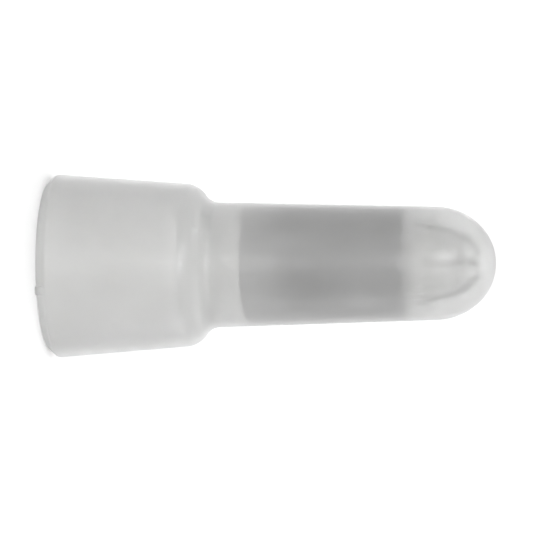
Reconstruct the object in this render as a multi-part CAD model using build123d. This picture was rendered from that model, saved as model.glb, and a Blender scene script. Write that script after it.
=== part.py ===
from build123d import *
import os
from math import cos, radians, sin, tan

# A closed end connector, in millimetres: an insulating cap with a crimp sleeve pushed up inside it.
# It stands on the open end of its skirt. The origin is the middle of the mouth, and +Z runs up the
# axis to the closed nose. Stripped wires come in from below, through the skirt into the sleeve.

# Crimp sleeve: a cut length of drawn tube
sleeve_diameter = 4.1
sleeve_wall = 0.4
sleeve_length = 7.15
sleeve_lead_in = 0.12  # chamfer inside both ends
sleeve_edge_break = 0.06  # chamfer outside both ends

# Skirt: the flared end that takes the wires' insulation
mouth_diameter = 8.25
skirt_height = 6.72  # mouth to the shoulder's lower corner, before its round
skirt_wall = 0.75
mouth_outer_chamfer = 0.42
mouth_lead_in = 0.12  # chamfer

# Shoulder: the soft step from skirt to barrel, with a funnel inside it
shoulder_step = 0.8
shoulder_slope = 55.0  # degrees from the axis
shoulder_wall = 0.67  # along the axis
shoulder_round = 1.0
shoulder_root_round = 0.75
funnel_angle = 45.0  # degrees from the axis
funnel_round = 0.25

# Barrel: the drafted tube around the sleeve
sleeve_setback = 1.57  # barrel's foot to the sleeve's near end
sleeve_clearance = 0.02  # on radius
barrel_wall = 0.48  # at the sleeve's far end, where it is thinnest
barrel_draft = 1.6  # degrees, each side

# Closed end: the ledge that stops the sleeve, the short neck beyond it, the pocket and the solid nose
stop_width = 0.33
neck_length = 0.75
pocket_step = 0.12  # from the neck to the pocket's foot, on radius
pocket_depth = 2.15
pocket_taper = 16.0  # degrees, each side; its end is fully round
nose_wall = 1.1
nose_length = 2.7  # of the dome that rounds off the outside
nose_crown_angle = 40.0  # slope, in degrees from the axis, at which the dome's flank meets its crown

# Ribs along the pocket's wall, which stop the conductors' ends
rib_count = 6
rib_thickness = 0.25
rib_height = 0.3
rib_eye_diameter = 0.7  # bare circle between the ribs' ends at the pocket's top

# Gate vestige: the stub left on the mouth's outer edge where the moulding was broken off its runner
gate_width = 0.35
gate_height = 0.45
gate_bearing = -74.5  # degrees about the axis from +X

front_bearing = -90.0  # one rib faces this way, degrees about the axis from +X
flat_left = 0.03  # between two rounds or chamfers that share a face

# Heights up the axis
shoulder_height = shoulder_step / tan(radians(shoulder_slope))
barrel_foot = skirt_height + shoulder_height
sleeve_foot = barrel_foot + sleeve_setback
stop_height = sleeve_foot + sleeve_length
pocket_foot = stop_height + neck_length
pocket_top = pocket_foot + pocket_depth
overall_length = pocket_top + nose_wall
nose_foot = overall_length - nose_length

# Radii
seat_radius = sleeve_diameter / 2 + sleeve_clearance
neck_radius = seat_radius - stop_width
pocket_radius = neck_radius - pocket_step
barrel_root_radius = seat_radius + barrel_wall + (stop_height - barrel_foot) * tan(radians(barrel_draft))
nose_radius = barrel_root_radius - (nose_foot - barrel_foot) * tan(radians(barrel_draft))
shoulder_radius = barrel_root_radius + shoulder_step
mouth_radius = mouth_diameter / 2
skirt_flare = (mouth_radius - shoulder_radius) / skirt_height


def skirt_radius(height):
    """Outer radius of the flared skirt at a height."""
    return mouth_radius - skirt_flare * height


def shared(size, other, room):
    """A round or chamfer, cut back in proportion where it and the other one don't fit their face."""
    return size * min(1, (room - flat_left) / (size + other))


def turned(*outline):
    """A solid of revolution: the outline's x is the radius and its y the height."""
    return revolve(Plane.XZ * make_face(outline), Axis.Z)


def round_ended(radius, foot, depth, taper):
    """A tapered flank and the full round that it runs into, up to the axis."""
    lean = radians(taper)
    end_radius = (radius * cos(lean) - depth * sin(lean)) / (1 - sin(lean))
    end = CenterArc((0, foot + depth - end_radius), end_radius, taper, 90 - taper)
    return Line((radius, foot), end @ 0), end


def nose():
    """The outside of the closed end: an arc that leaves the drafted barrel, then the crown's arc."""
    half_slope = tan(radians(nose_crown_angle / 2))
    crown_radius = (nose_radius - nose_length * half_slope) / (1 - half_slope)
    flank_radius = crown_radius + (nose_length - crown_radius) / sin(radians(nose_crown_angle))
    flank_centre = (nose_radius - flank_radius, nose_foot)
    flank = CenterArc(flank_centre, flank_radius, barrel_draft, nose_crown_angle - barrel_draft)
    crown_centre = (0, overall_length - crown_radius)
    crown = CenterArc(crown_centre, crown_radius, nose_crown_angle, 90 - nose_crown_angle)
    return flank, crown


def outside():
    """The cap's outer form: flared skirt, soft shoulder, drafted barrel and rounded nose."""
    flank, crown = nose()
    corners = [
        (0, 0),
        (mouth_radius, 0),
        (shoulder_radius, skirt_height),
        (barrel_root_radius, barrel_foot),
        flank @ 0,
    ]
    slope = radians(shoulder_slope)
    room = shoulder_step / sin(slope) / tan(slope / 2)
    rounds = [
        0,
        shared(shoulder_round, shoulder_root_round, room),
        shared(shoulder_root_round, shoulder_round, room),
    ]
    side = FilletPolyline(*corners, radius=rounds)
    return turned(side, flank, crown, Line((0, overall_length), (0, 0)))


def cavity():
    """The space inside the cap: skirt bore, funnel, sleeve seat, stop ledge, neck and domed pocket."""
    floor_height = skirt_height - shoulder_wall
    floor_radius = skirt_radius(floor_height) - skirt_wall
    funnel_top = floor_height + (floor_radius - seat_radius) / tan(radians(funnel_angle))
    flank, end = round_ended(pocket_radius, pocket_foot, pocket_depth, pocket_taper)
    corners = [
        (mouth_radius - skirt_wall, 0),
        (floor_radius, floor_height),
        (seat_radius, funnel_top),
        (seat_radius, stop_height),
        (neck_radius, stop_height),
        (neck_radius, pocket_foot),
        flank @ 0,
    ]
    wall = FilletPolyline(*corners, radius=[funnel_round, funnel_round, 0, 0, 0])
    return turned(Line((0, 0), corners[0]), wall, flank, end, Line((0, pocket_top), (0, 0)))


def pocket_ribs():
    """The ribs that stand in from the pocket's wall and run up to the bare circle at its top."""
    eye_radius = rib_eye_diameter / 2
    slab = Box(
        pocket_radius - eye_radius, rib_thickness, pocket_depth, align=(Align.MIN, Align.CENTER, Align.MIN)
    )
    slabs = [
        Rot(Z=front_bearing + turn * 360 / rib_count) * Pos(X=eye_radius, Z=pocket_foot) * slab
        for turn in range(rib_count)
    ]
    core_radius = pocket_radius - rib_height / cos(radians(pocket_taper))
    flank, end = round_ended(core_radius, pocket_foot, pocket_depth - rib_height, pocket_taper)
    core = turned(Line((0, pocket_foot), flank @ 0), flank, end, Line(end @ 1, (0, pocket_foot)))
    return Part() + slabs - core


def gate_vestige():
    """The broken gate, flush with the mouth and with the skirt's flare."""
    stub = Box(skirt_wall, gate_width, gate_height, align=(Align.MAX, Align.CENTER, Align.MIN))
    return Rot(Z=gate_bearing) * Pos(X=mouth_radius) * stub & outside()


def insulating_cap():
    """The cap, one moulding."""
    cap = outside() - (cavity() - pocket_ribs())
    mouth_edges = cap.edges().filter_by(GeomType.CIRCLE).group_by(Axis.Z)[0].sort_by(SortBy.RADIUS)
    cap = chamfer(mouth_edges[0], shared(mouth_lead_in, mouth_outer_chamfer, skirt_wall))
    mouth_edges = cap.edges().filter_by(GeomType.CIRCLE).group_by(Axis.Z)[0].sort_by(SortBy.RADIUS)
    cap = chamfer(mouth_edges[-1], shared(mouth_outer_chamfer, mouth_lead_in, skirt_wall))
    return cap + gate_vestige()


def crimp_sleeve():
    """The sleeve, seated against the ledge, with its ends deburred."""
    tube = Cylinder(sleeve_diameter / 2, sleeve_length) - Cylinder(
        sleeve_diameter / 2 - sleeve_wall, sleeve_length
    )
    rims = tube.edges().filter_by(GeomType.CIRCLE).group_by(SortBy.RADIUS)
    tube = chamfer(rims[0], shared(sleeve_lead_in, sleeve_edge_break, sleeve_wall))
    rims = tube.edges().filter_by(GeomType.CIRCLE).group_by(SortBy.RADIUS)
    tube = chamfer(rims[-1], shared(sleeve_edge_break, sleeve_lead_in, sleeve_wall))
    return Pos(Z=sleeve_foot + sleeve_length / 2) * tube


os.makedirs("parts", exist_ok=True)
export_step(insulating_cap(), "parts/insulating_cap.step")
export_step(crimp_sleeve(), "parts/crimp_sleeve.step")
print("overall length", round(overall_length, 3), "shoulder radius", round(shoulder_radius, 3))
print("barrel radius", round(barrel_root_radius, 3), "to", round(nose_radius, 3))
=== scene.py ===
from math import cos, pi, radians, sin, tan

import bmesh
import bpy
from mathutils import Matrix, Vector, noise


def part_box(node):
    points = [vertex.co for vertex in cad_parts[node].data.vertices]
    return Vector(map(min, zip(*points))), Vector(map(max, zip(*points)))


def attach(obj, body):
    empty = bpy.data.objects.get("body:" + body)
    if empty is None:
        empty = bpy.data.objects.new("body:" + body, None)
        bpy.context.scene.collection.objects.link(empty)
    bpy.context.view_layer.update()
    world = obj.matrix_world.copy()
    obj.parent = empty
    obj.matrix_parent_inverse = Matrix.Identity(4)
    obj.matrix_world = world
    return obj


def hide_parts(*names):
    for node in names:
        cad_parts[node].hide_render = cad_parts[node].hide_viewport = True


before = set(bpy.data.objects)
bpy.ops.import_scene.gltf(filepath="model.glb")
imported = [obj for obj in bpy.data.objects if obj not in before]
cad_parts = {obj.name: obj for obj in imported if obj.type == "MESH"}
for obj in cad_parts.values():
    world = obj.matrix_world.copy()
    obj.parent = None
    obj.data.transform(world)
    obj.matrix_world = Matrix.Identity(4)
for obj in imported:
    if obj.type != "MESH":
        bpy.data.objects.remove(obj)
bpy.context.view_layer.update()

# Insulating cap: one injection moulding in natural nylon, which is milky and lets light through.
# A flared skirt takes the wires' insulation, a funnel leads their bare ends into the drafted barrel,
# and the closed nose has a pocket with six ribs. The skirt's mouth still has the stub of the gate.
skirt_height = 0.00672
skirt_wall = 0.00075
mouth_radius = 0.004125
mouth_chamfer = 0.00042
mouth_edge_round = 0.0002
mouth_inner_round = 0.00012
shoulder_radius = 0.003594
shoulder_slope = radians(55)
shoulder_wall = 0.00067
shoulder_round = 0.001
shoulder_root_round = 0.00075
funnel_angle = radians(45)
funnel_round = 0.00025
barrel_root_radius = 0.002794
barrel_draft = radians(1.6)
seat_radius = 0.00207
stop_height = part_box("crimp_sleeve")[1].z
stop_width = 0.00033
stop_edge_round = 0.00004
neck_length = 0.00075
pocket_foot = stop_height + neck_length
pocket_step = 0.00012
pocket_radius = seat_radius - stop_width - pocket_step
pocket_depth = 0.00215
pocket_top = pocket_foot + pocket_depth
pocket_taper = radians(16)
overall_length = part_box("insulating_cap")[1].z
nose_length = 0.0027
nose_foot = overall_length - nose_length
nose_crown_angle = radians(40)
rib_count = 6
rib_thickness = 0.00025
rib_height = 0.0003
rib_eye_radius = 0.00035
front_bearing = radians(-90)
gate_bearing = radians(-74.5)
gate_width = 0.00035
gate_tear = 0.00005
gate_tears_per_metre = 9000
sides = 144
ring_pitch = 0.00015
weld_reach = 1e-7
cut_reach = 1e-9
moulded_crease = radians(32)
clouds_per_metre = 450
moulded_grain_per_metre = 9000
moulded_grain_depth = 0.000002
moulded_grain_strength = 0.3
nylon_roughness = (0.34, 0.4)
clear_nylon = (0.88, 0.88, 0.875, 1)
cloudy_nylon = (0.838, 0.838, 0.828, 1)
painted_light_nylon = (0.96, 0.96, 0.955, 1)
painted_pocket_shade = (0.78, 0.78, 0.77, 1)
painted_rib_shade = (0.3, 0.3, 0.29, 1)

# Heights, and one radius, between which the nylon turns from one colour into another: painted light
# over the shoulder and the nose, painted shade in the pocket and on the ribs
shoulder_starts = (skirt_height - 0.0012, skirt_height - 0.0004)
shoulder_ends = (skirt_height + 0.0004, skirt_height + 0.0012)
nose_starts = (nose_foot, nose_foot + 0.001)
nose_ends = (overall_length - 0.0014, overall_length - 0.0006)
pocket_starts = (stop_height + 0.0002, stop_height + 0.0006)
pocket_ends = (pocket_top, pocket_top + 0.0001)
pocket_side = (seat_radius - 0.00025, seat_radius - 0.00012)
rib_shade_starts = (pocket_foot + 0.0003, pocket_foot + 0.0011)


def wire(bm, points):
    """A chain of edges through (radius, height) points, drawn in the plane of X and Z."""
    verts = [bm.verts.new((radius, 0, height)) for radius, height in points]
    for near, far in zip(verts, verts[1:]):
        bm.edges.new((near, far))
    return verts


def round_off(bm, vert, radius, segments=12):
    """Rounds one corner of a chain."""
    near, far = (edge.other_vert(vert).co - vert.co for edge in vert.link_edges)
    reach = radius / tan(near.angle(far) / 2)
    bmesh.ops.bevel(
        bm, geom=[vert], offset=reach, segments=segments, profile=0.5, affect="VERTICES", material=-1
    )


def swing(bm, vert, centre, angle, steps=24):
    """Carries a chain on from a vertex, along an arc about a (radius, height) centre."""
    arc = bmesh.ops.spin(
        bm, geom=[vert], cent=(centre[0], 0, centre[1]), axis=(0, -1, 0), angle=angle, steps=steps
    )
    return next(item for item in arc["geom_last"] if isinstance(item, bmesh.types.BMVert))


def divide(bm, pitch):
    """Cuts a chain's long edges into even lengths of about a pitch."""
    for edge in bm.edges[:]:
        cuts = int(edge.calc_length() / pitch)
        if cuts:
            bmesh.ops.subdivide_edges(bm, edges=[edge], cuts=cuts)


def turn(bm):
    """Spins the chain about Z into a closed skin with its faces outwards."""
    bmesh.ops.spin(
        bm, geom=bm.verts[:] + bm.edges[:], cent=(0, 0, 0), axis=(0, 0, 1), angle=2 * pi, steps=sides,
        use_merge=True,
    )
    bmesh.ops.remove_doubles(bm, verts=bm.verts[:], dist=weld_reach)
    bmesh.ops.recalc_face_normals(bm, faces=bm.faces[:])


def finished(bm, name, crease):
    """The piece's object, smooth but for its sharp edges."""
    for face in bm.faces:
        face.smooth = True
    for edge in bm.edges:
        edge.smooth = edge.calc_face_angle(0) < crease
    mesh = bpy.data.meshes.new(name)
    bm.to_mesh(mesh)
    bm.free()
    piece = bpy.data.objects.new(name, mesh)
    bpy.context.scene.collection.objects.link(piece)
    return piece


def pocket_end():
    """The radius of the round that closes the pocket, and its centre's height."""
    lean = pocket_taper
    radius = (pocket_radius * cos(lean) - pocket_depth * sin(lean)) / (1 - sin(lean))
    return radius, pocket_top - radius


def draw_cap_section(bm):
    """The chain from the nose's tip down the outside, round the mouth and up to the pocket's top."""
    barrel_foot = skirt_height + (shoulder_radius - barrel_root_radius) / tan(shoulder_slope)
    nose_radius = barrel_root_radius - (nose_foot - barrel_foot) * tan(barrel_draft)
    half_slope = tan(nose_crown_angle / 2)
    crown_radius = (nose_radius - nose_length * half_slope) / (1 - half_slope)
    flank_radius = crown_radius + (nose_length - crown_radius) / sin(nose_crown_angle)
    flank_centre = (nose_radius - flank_radius, nose_foot)
    crown_centre = (0, overall_length - crown_radius)
    nose_start = (
        flank_centre[0] + flank_radius * cos(barrel_draft), nose_foot + flank_radius * sin(barrel_draft)
    )
    floor_height = skirt_height - shoulder_wall
    flare = (mouth_radius - shoulder_radius) / skirt_height
    floor_radius = mouth_radius - flare * floor_height - skirt_wall
    funnel_top = floor_height + (floor_radius - seat_radius) / tan(funnel_angle)
    end_radius, end_height = pocket_end()
    chain = wire(bm, [
        nose_start,
        (barrel_root_radius, barrel_foot),
        (shoulder_radius, skirt_height),
        (mouth_radius - flare * mouth_chamfer, mouth_chamfer),
        (mouth_radius - mouth_chamfer, 0),
        (mouth_radius - skirt_wall, 0),
        (floor_radius, floor_height),
        (seat_radius, funnel_top),
        (seat_radius, stop_height),
        (seat_radius - stop_width, stop_height),
        (seat_radius - stop_width, pocket_foot),
        (pocket_radius, pocket_foot),
        (end_radius * cos(pocket_taper), end_height + end_radius * sin(pocket_taper)),
    ])
    flank_end = swing(bm, chain[0], flank_centre, nose_crown_angle - barrel_draft)
    swing(bm, flank_end, crown_centre, pi / 2 - nose_crown_angle)
    swing(bm, chain[-1], (0, end_height), pi / 2 - pocket_taper)
    rounds = [
        shoulder_root_round, shoulder_round, mouth_edge_round, mouth_edge_round, mouth_inner_round,
        funnel_round, funnel_round, None, stop_edge_round, stop_edge_round, stop_edge_round,
    ]
    for vert, radius in zip(chain[1:-1], rounds):
        if radius:
            round_off(bm, vert, radius)
    divide(bm, ring_pitch)


def faces_within(bm, lowest, highest, inner, outer):
    """The faces whose middles lie between two heights and two radii."""
    middles = {face: face.calc_center_median() for face in bm.faces}
    return [
        face for face, middle in middles.items()
        if lowest < middle.z < highest and inner < middle.xy.length < outer
    ]


def faces_between(bm, faces, bearing, width):
    """Cuts faces where a slab on the axis passes through them, and gives those inside it."""
    outwards = Vector((cos(bearing), sin(bearing), 0))
    sideways = Vector((-sin(bearing), cos(bearing), 0))
    for side in (-width / 2, width / 2):
        parts = {part for face in faces for part in (face, *face.edges, *face.verts)}
        cut = bmesh.ops.bisect_plane(
            bm, geom=list(parts), dist=cut_reach, plane_co=sideways * side, plane_no=sideways
        )
        faces = [part for part in cut["geom"] if isinstance(part, bmesh.types.BMFace)]
    middles = {face: face.calc_center_median() for face in faces}
    return [
        face for face, middle in middles.items()
        if abs(middle.dot(sideways)) < width / 2 and middle.dot(outwards) > 0
    ]


def raised(bm, faces):
    """Extrudes faces in place and gives the new skin's vertices."""
    grown = bmesh.ops.extrude_face_region(bm, geom=faces)["geom"]
    bmesh.ops.delete(bm, geom=[face for face in faces if face.is_valid], context="FACES")
    return [part for part in grown if isinstance(part, bmesh.types.BMVert)]


def raise_rib(bm, bearing):
    """One rib: a strip of the pocket's wall that stands in by the rib's height."""
    outwards = Vector((cos(bearing), sin(bearing), 0))
    end_height = pocket_end()[1]
    pocket = faces_within(bm, pocket_foot, pocket_top, rib_eye_radius, pocket_radius)
    on_rib = bm.verts.layers.float["rib"]
    for vert in raised(bm, faces_between(bm, pocket, bearing, rib_thickness)):
        vert[on_rib] = 1
        from_centre = Vector((vert.co.dot(outwards), vert.co.z - end_height))
        slope = max(from_centre.angle_signed((1, 0)), pocket_taper)
        vert.co -= rib_height * (outwards * cos(slope) + Vector((0, 0, sin(slope))))
        vert.co.z = max(vert.co.z, pocket_foot)


def raise_gate(bm):
    """The gate's stub: the mouth's chamfer filled out to the skirt's flare, with a torn face."""
    outwards = Vector((cos(gate_bearing), sin(gate_bearing), 0))
    flare = (mouth_radius - shoulder_radius) / skirt_height
    rim = faces_within(bm, -mouth_chamfer, mouth_chamfer, mouth_radius - mouth_chamfer, mouth_radius)
    for vert in raised(bm, faces_between(bm, rim, gate_bearing, gate_width)):
        torn = gate_tear * abs(noise.noise(vert.co * gate_tears_per_metre)) if vert.co.z > 0 else 0
        reach = mouth_radius - flare * vert.co.z - torn
        vert.co += outwards * max(reach - vert.co.dot(outwards), 0)


def mottle_group():
    """Uneven patches from 0 to 1, for clouding, grain and dull spots."""
    group = bpy.data.node_groups.new("mottle", "ShaderNodeTree")
    group.interface.new_socket("Vector", in_out="INPUT", socket_type="NodeSocketVector")
    group.interface.new_socket("Patches per Metre", in_out="INPUT", socket_type="NodeSocketFloat")
    group.interface.new_socket("Fineness", in_out="INPUT", socket_type="NodeSocketFloat")
    group.interface.new_socket("Patches", in_out="OUTPUT", socket_type="NodeSocketFloat")
    enter = group.nodes.new("NodeGroupInput")
    leave = group.nodes.new("NodeGroupOutput")
    patches = group.nodes.new("ShaderNodeTexNoise")
    spread = group.nodes.new("ShaderNodeMapRange")
    spread.inputs["From Min"].default_value = 0.3
    spread.inputs["From Max"].default_value = 0.7
    group.links.new(enter.outputs["Vector"], patches.inputs["Vector"])
    group.links.new(enter.outputs["Patches per Metre"], patches.inputs["Scale"])
    group.links.new(enter.outputs["Fineness"], patches.inputs["Detail"])
    group.links.new(patches.outputs["Fac"], spread.inputs["Value"])
    group.links.new(spread.outputs["Result"], leave.inputs["Patches"])
    return group


mottle = mottle_group()


def add_mottle(material, vector, per_metre, fineness):
    """Places the mottle in a material and gives its output."""
    node = material.node_tree.nodes.new("ShaderNodeGroup")
    node.node_tree = mottle
    node.inputs["Patches per Metre"].default_value = per_metre
    node.inputs["Fineness"].default_value = fineness
    material.node_tree.links.new(vector, node.inputs["Vector"])
    return node.outputs["Patches"]


def add_range(material, value, low, high, start=0.0, end=1.0):
    """Turns a varying value between start and end into one between low and high."""
    node = material.node_tree.nodes.new("ShaderNodeMapRange")
    for name, number in zip(("From Min", "From Max", "To Min", "To Max"), (start, end, low, high)):
        node.inputs[name].default_value = number
    material.node_tree.links.new(value, node.inputs["Value"])
    return node.outputs["Result"]


def add_blend(material, share, near, far):
    """Mixes two colours, or a varying one and a plain one, by a share."""
    node = material.node_tree.nodes.new("ShaderNodeMix")
    node.data_type = "RGBA"
    material.node_tree.links.new(share, node.inputs["Factor"])
    for name, colour in zip("AB", (near, far)):
        socket = next(item for item in node.inputs if item.name == name and item.type == "RGBA")
        if isinstance(colour, tuple):
            socket.default_value = colour
        else:
            material.node_tree.links.new(colour, socket)
    return next(item for item in node.outputs if item.type == "RGBA")


def add_product(material, first, second):
    """Multiplies two varying values."""
    node = material.node_tree.nodes.new("ShaderNodeMath")
    node.operation = "MULTIPLY"
    for socket, value in zip(node.inputs, (first, second)):
        material.node_tree.links.new(value, socket)
    return node.outputs["Value"]


def add_stretch(material, value, starts, ends, most=1.0):
    """A share that rises over one span of a varying value and falls again over another."""
    return add_product(
        material, add_range(material, value, 0, most, *starts), add_range(material, value, 1, 0, *ends)
    )


def add_height(material, place):
    """The height above the mouth."""
    node = material.node_tree.nodes.new("ShaderNodeSeparateXYZ")
    material.node_tree.links.new(place, node.inputs["Vector"])
    return node.outputs["Z"]


def add_distance_from_axis(material, place):
    """The radius at which a surface lies."""
    across = material.node_tree.nodes.new("ShaderNodeVectorMath")
    across.operation = "MULTIPLY"
    across.inputs[1].default_value = (1, 1, 0)
    material.node_tree.links.new(place, across.inputs[0])
    node = material.node_tree.nodes.new("ShaderNodeVectorMath")
    node.operation = "LENGTH"
    material.node_tree.links.new(across.outputs["Vector"], node.inputs[0])
    return node.outputs["Value"]


def add_bump(material, height, depth, strength):
    """Raises a surface by a varying height of up to a depth in metres."""
    node = material.node_tree.nodes.new("ShaderNodeBump")
    node.inputs["Strength"].default_value = strength
    node.inputs["Distance"].default_value = depth
    material.node_tree.links.new(height, node.inputs["Height"])
    return node.outputs["Normal"]


cap_bm = bmesh.new()
cap_bm.verts.layers.float.new("rib")
draw_cap_section(cap_bm)
turn(cap_bm)
for rib_number in range(rib_count):
    raise_rib(cap_bm, front_bearing + 2 * pi * rib_number / rib_count)
raise_gate(cap_bm)
bmesh.ops.remove_doubles(cap_bm, verts=cap_bm.verts[:], dist=weld_reach)
bmesh.ops.recalc_face_normals(cap_bm, faces=cap_bm.faces[:])
cap = finished(cap_bm, "cap", moulded_crease)
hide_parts("insulating_cap")
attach(cap, "root")

nylon = bpy.data.materials.new("natural_nylon")
nylon.use_nodes = True
nodes, links = nylon.node_tree.nodes, nylon.node_tree.links
shader = nodes["Principled BSDF"]
place = nodes.new("ShaderNodeTexCoord").outputs["Object"]
clouds = add_mottle(nylon, place, clouds_per_metre, fineness=3)
moulded_grain = add_mottle(nylon, place, moulded_grain_per_metre, fineness=2)
height = add_height(nylon, place)
radius = add_distance_from_axis(nylon, place)
# Painted light: a whiter nylon over the shoulder lifts the funnel's shade there, and over the nose it
# stands in for light shining through the solid nylon.
shoulder_painted_light = add_stretch(nylon, height, shoulder_starts, shoulder_ends, most=0.5)
nose_painted_light = add_stretch(nylon, height, nose_starts, nose_ends)
# Painted shade: a greyer nylon on the pocket's inner walls, where the hollow lies in shade.
pocket_shade_share = add_product(
    nylon,
    add_range(nylon, radius, 1, 0, *pocket_side),
    add_stretch(nylon, height, pocket_starts, pocket_ends),
)
on_rib = nodes.new("ShaderNodeAttribute")
on_rib.attribute_name = "rib"
body_colour = add_blend(nylon, clouds, clear_nylon, cloudy_nylon)
shoulder_colour = add_blend(nylon, shoulder_painted_light, body_colour, painted_light_nylon)
outer_colour = add_blend(nylon, nose_painted_light, shoulder_colour, painted_light_nylon)
smooth_colour = add_blend(nylon, pocket_shade_share, outer_colour, painted_pocket_shade)
# Painted shade: the ribs are coloured dark grey, standing in for the shade they throw, seen through the
# nylon.
rib_shade_share = add_product(nylon, on_rib.outputs["Fac"], add_range(nylon, height, 0, 1, *rib_shade_starts))
links.new(add_blend(nylon, rib_shade_share, smooth_colour, painted_rib_shade), shader.inputs["Base Color"])
links.new(add_range(nylon, clouds, *nylon_roughness), shader.inputs["Roughness"])
nylon_bump = add_bump(nylon, moulded_grain, moulded_grain_depth, moulded_grain_strength)
links.new(nylon_bump, shader.inputs["Normal"])
shader.inputs["IOR"].default_value = 1.53
shader.inputs["Transmission Weight"].default_value = 0.74
shader.inputs["Sheen Weight"].default_value = 1
shader.inputs["Subsurface Weight"].default_value = 1
shader.inputs["Subsurface Radius"].default_value = (1, 1, 1)
shader.inputs["Subsurface Scale"].default_value = 0.0008
cap.data.materials.append(nylon)

# Crimp sleeve: a cut length of drawn copper tube, plated with tin, with its ends deburred. It is
# pushed up the barrel until it meets the ledge, and the barrel grips it.
sleeve_foot, sleeve_head = (corner.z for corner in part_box("crimp_sleeve"))
sleeve_press = 0.000002
sleeve_outer_radius = seat_radius + sleeve_press
sleeve_wall = 0.0004
sleeve_lead_in = 0.00012
sleeve_edge_round = 0.00006
tube_crease = radians(32)
dull_spots_per_metre = 600
dull_spots_along = 0.45
drawn_grain_per_metre = 15000
drawn_grain_along = 0.03
drawn_grain_depth = 0.000003
drawn_grain_strength = 0.5
tin_roughness = (0.25, 0.33)
bright_tin = (0.34, 0.34, 0.34, 1)
dull_tin = (0.13, 0.13, 0.13, 1)
painted_lit_tin = (0.38, 0.38, 0.38, 1)
bore_tin = (0.8, 0.8, 0.8, 1)
bore_ends = (sleeve_outer_radius - sleeve_wall, sleeve_outer_radius - sleeve_edge_round)
foot_light_ends = (sleeve_foot + 0.0004, sleeve_foot + 0.002)


def add_draw(material, place, rate):
    """Draws a pattern out along the tube, where it runs at this share of its rate round it."""
    node = material.node_tree.nodes.new("ShaderNodeMapping")
    node.inputs["Scale"].default_value = (1, 1, rate)
    material.node_tree.links.new(place, node.inputs["Vector"])
    return node.outputs["Vector"]


sleeve_bm = bmesh.new()
ring = wire(sleeve_bm, [
    (sleeve_outer_radius, sleeve_foot),
    (sleeve_outer_radius, sleeve_head),
    (sleeve_outer_radius - sleeve_wall, sleeve_head),
    (sleeve_outer_radius - sleeve_wall, sleeve_foot),
])
sleeve_bm.edges.new((ring[-1], ring[0]))
for vert, radius in zip(ring, [sleeve_edge_round, sleeve_edge_round, sleeve_lead_in, sleeve_lead_in]):
    round_off(sleeve_bm, vert, radius, segments=4)
divide(sleeve_bm, ring_pitch)
turn(sleeve_bm)
sleeve = finished(sleeve_bm, "sleeve", tube_crease)
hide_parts("crimp_sleeve")
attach(sleeve, "root")

tin = bpy.data.materials.new("tinned_copper")
tin.use_nodes = True
nodes, links = tin.node_tree.nodes, tin.node_tree.links
shader = nodes["Principled BSDF"]
place = nodes.new("ShaderNodeTexCoord").outputs["Object"]
drawn_spots = add_draw(tin, place, dull_spots_along)
dull_spots = add_mottle(tin, drawn_spots, dull_spots_per_metre, fineness=3)
drawn_lines = add_draw(tin, place, drawn_grain_along)
drawn_grain = add_mottle(tin, drawn_lines, drawn_grain_per_metre, fineness=2)
radius = add_distance_from_axis(tin, place)
in_bore = add_range(tin, radius, 1, 0, *bore_ends)
height = add_height(tin, place)
# Painted light: a lighter tin over the foot end, standing in for the light that comes in from the
# skirt's side.
foot_painted_light = add_range(tin, height, 1, 0, *foot_light_ends)
outer_skin = add_blend(tin, foot_painted_light, add_blend(tin, dull_spots, bright_tin, dull_tin), painted_lit_tin)
links.new(add_blend(tin, in_bore, outer_skin, bore_tin), shader.inputs["Base Color"])
links.new(add_range(tin, drawn_grain, *tin_roughness), shader.inputs["Roughness"])
tin_bump = add_bump(tin, drawn_grain, drawn_grain_depth, drawn_grain_strength)
links.new(tin_bump, shader.inputs["Normal"])
shader.inputs["Metallic"].default_value = 1
sleeve.data.materials.append(tin)

# Floor: a plain white sheet that the connector stands on. Its glow is only seen and lights nothing,
# and the connector's shadow still falls on it.
floor_reach = 3.0
floor_colour = (0.9, 0.9, 0.9, 1)
floor_glow = 0.34

floor_bm = bmesh.new()
bmesh.ops.create_grid(floor_bm, x_segments=1, y_segments=1, size=floor_reach)
floor_mesh = bpy.data.meshes.new("floor")
floor_bm.to_mesh(floor_mesh)
floor_bm.free()
floor = bpy.data.objects.new("floor", floor_mesh)
bpy.context.scene.collection.objects.link(floor)


def seen_directly(nodes, links):
    """1 where the camera, a mirror or glass looks at a surface, and 0 where it only lights others."""
    path = nodes.new("ShaderNodeLightPath")
    total = path.outputs["Is Camera Ray"]
    for name in ("Is Glossy Ray", "Is Transmission Ray"):
        larger = nodes.new("ShaderNodeMath")
        larger.operation = "MAXIMUM"
        links.new(total, larger.inputs[0])
        links.new(path.outputs[name], larger.inputs[1])
        total = larger.outputs[0]
    return total


paper = bpy.data.materials.new("white_sheet")
paper.use_nodes = True
nodes, links = paper.node_tree.nodes, paper.node_tree.links
shader = nodes["Principled BSDF"]
shader.inputs["Base Color"].default_value = floor_colour
shader.inputs["Roughness"].default_value = 0.9
shader.inputs["Emission Color"].default_value = (1, 1, 1, 1)
dimmed = nodes.new("ShaderNodeMath")
dimmed.operation = "MULTIPLY"
dimmed.inputs[1].default_value = floor_glow
links.new(seen_directly(nodes, links), dimmed.inputs[0])
links.new(dimmed.outputs[0], shader.inputs["Emission Strength"])
paper.cycles.emission_sampling = "NONE"
floor.data.materials.append(paper)

# Light: a pale room all round, a tall soft lamp behind the camera, which the sleeve throws back as a
# streak, one above and behind the connector, and a weak one beside it. The room looks white, but
# lights at a lower level.
room_level = 0.355
lamp_aim = Vector((0, 0, 0.01))

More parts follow.
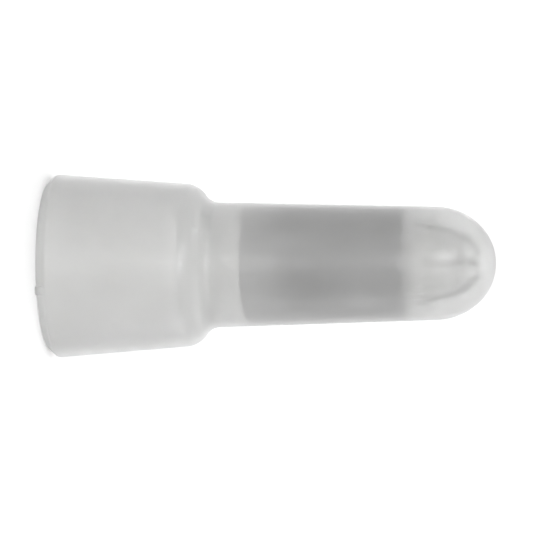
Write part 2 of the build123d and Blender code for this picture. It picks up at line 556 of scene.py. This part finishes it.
world = bpy.data.worlds.new("pale_room")
bpy.context.scene.world = world
world.use_nodes = True
world.cycles.sampling_method = "NONE"
nodes, links = world.node_tree.nodes, world.node_tree.links
room = nodes["Background"]
room.inputs["Color"].default_value = (1, 1, 1, 1)
span = nodes.new("ShaderNodeMapRange")
span.inputs["To Min"].default_value = room_level
span.inputs["To Max"].default_value = 1
links.new(seen_directly(nodes, links), span.inputs["Value"])
links.new(span.outputs["Result"], room.inputs["Strength"])


def hang_lamp(name, place, width, length, power):
    """A soft oval lamp, turned towards the connector."""
    lamp_data = bpy.data.lights.new(name, "AREA")
    lamp_data.shape = "ELLIPSE"
    lamp_data.size = width
    lamp_data.size_y = length
    lamp_data.energy = power
    lamp = bpy.data.objects.new(name, lamp_data)
    turn_to_aim = (Vector(place) - lamp_aim).to_track_quat("Z", "Y")
    lamp.matrix_world = Matrix.Translation(place) @ turn_to_aim.to_matrix().to_4x4()
    bpy.context.scene.collection.objects.link(lamp)


hang_lamp("front_lamp", (-0.03, -0.33, 0.14), width=0.1, length=0.2, power=0.48)
hang_lamp("top_lamp", (0.02, 0.16, 0.3), width=0.4, length=0.4, power=0.6)
hang_lamp("side_lamp", (0.33, -0.02, 0.06), width=0.12, length=0.12, power=0.11)

# Camera: a little above the connector's level and rolled a quarter turn, so that the nose points to
# the right of the picture. It stands well back behind a long lens.
camera_rise = radians(7.5)
camera_roll = radians(0.4)
camera_distance = 0.22
camera_aim = Vector((0.00009, 0, 0.00977))
picture_width = 0.02369

camera_data = bpy.data.cameras.new("camera")
camera_data.lens = camera_data.sensor_width * camera_distance / picture_width
camera_data.clip_start = 0.01
camera = bpy.data.objects.new("camera", camera_data)
up_the_axis = Vector((0, sin(camera_rise), cos(camera_rise)))
across = Vector((-1, 0, 0))
right = up_the_axis * cos(camera_roll) - across * sin(camera_roll)
up = up_the_axis * sin(camera_roll) + across * cos(camera_roll)
back = right.cross(up)
turned = Matrix((right, up, back)).transposed().to_4x4()
camera.matrix_world = Matrix.Translation(camera_aim + back * camera_distance) @ turned
bpy.context.scene.collection.objects.link(camera)
bpy.context.scene.camera = camera
bpy.context.scene.view_settings.view_transform = "Standard"
